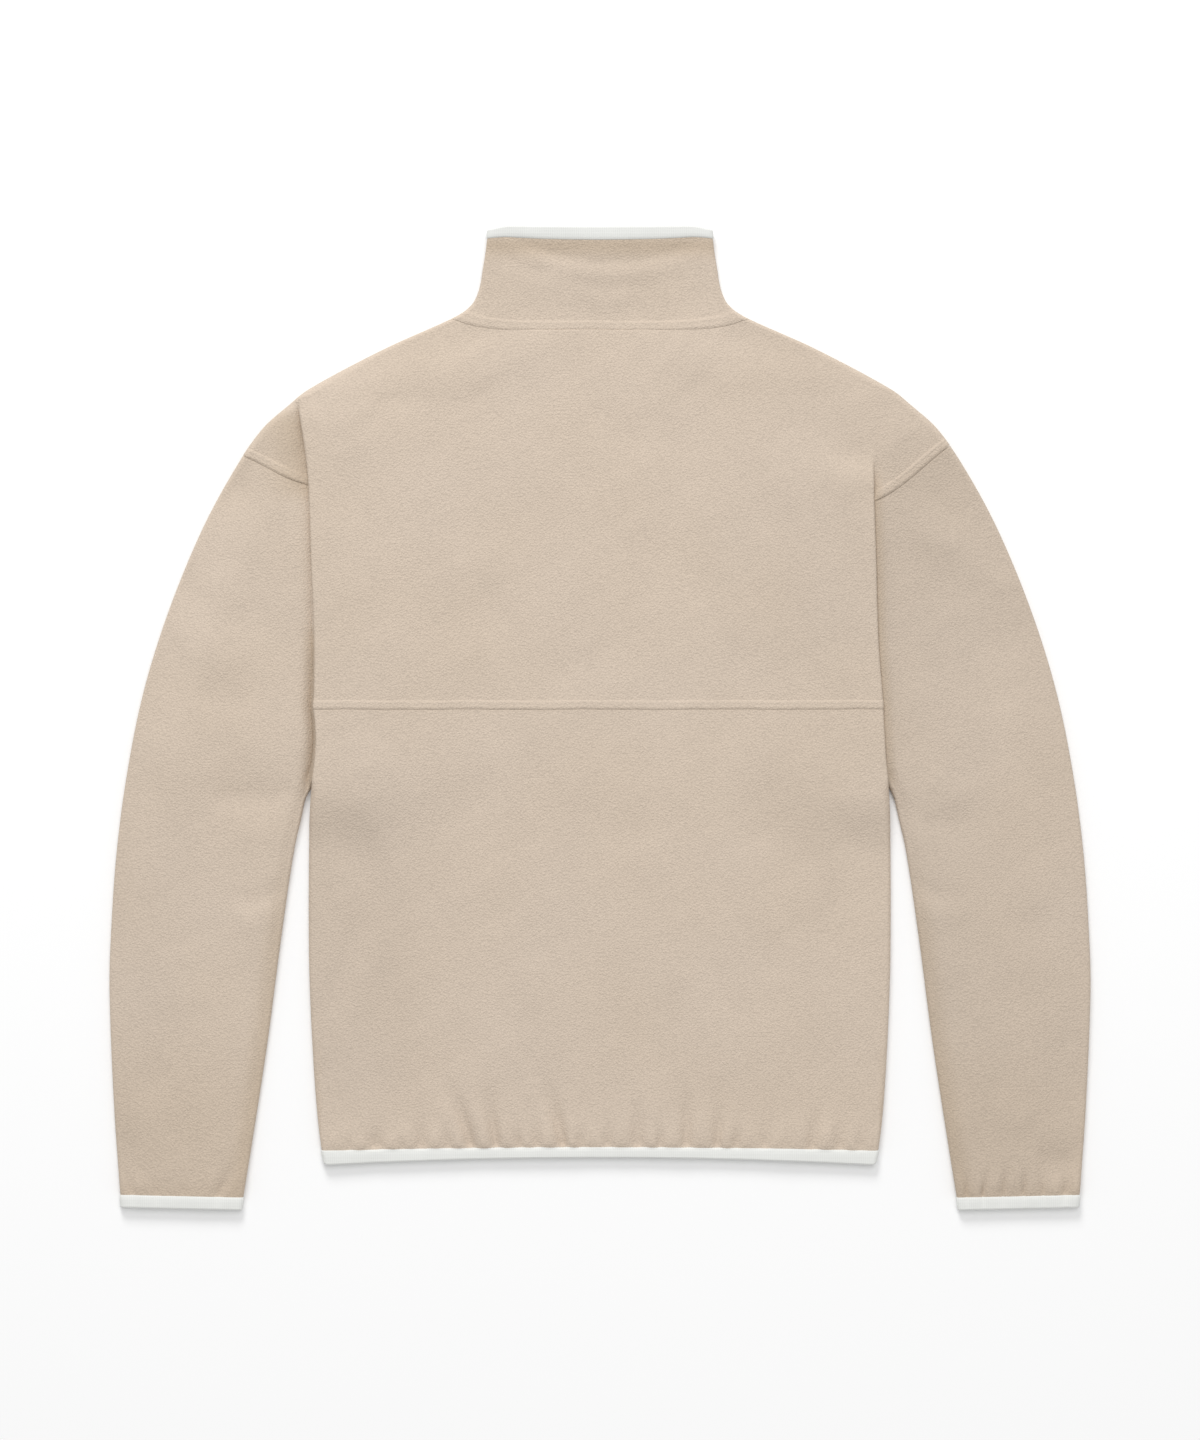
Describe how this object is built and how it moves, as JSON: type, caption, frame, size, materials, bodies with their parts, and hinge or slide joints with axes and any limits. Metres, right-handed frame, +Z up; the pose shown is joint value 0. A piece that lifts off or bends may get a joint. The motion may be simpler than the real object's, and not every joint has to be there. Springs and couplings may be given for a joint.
{
  "type": "fleece pullover",
  "caption": "Beige fleece pullover with a stand collar and off-white elastic edges, lying flat and face down with its sleeves drawn in beside the body.",
  "frame": {"origin": "on the ground plane, under the middle of the outline", "axes": "+Z up from the ground, out of the garment's back; +Y towards the collar; +X towards the wearer's right sleeve"},
  "size_m": [0.7938, 0.7966, 0.0166],
  "materials": {
    "fleece": "short, softly napped fleece pile",
    "binding": "smooth elastic fold-over tape"
  },
  "bodies": {
    "root": {"front": "fleece", "back_yoke": "fleece", "lower_back": "fleece", "sleeve_left": "fleece", "sleeve_right": "fleece", "collar": "fleece", "hem_binding": "binding", "cuff_binding_left": "binding", "cuff_binding_right": "binding", "collar_binding": "binding"}
  },
  "joints": []
}
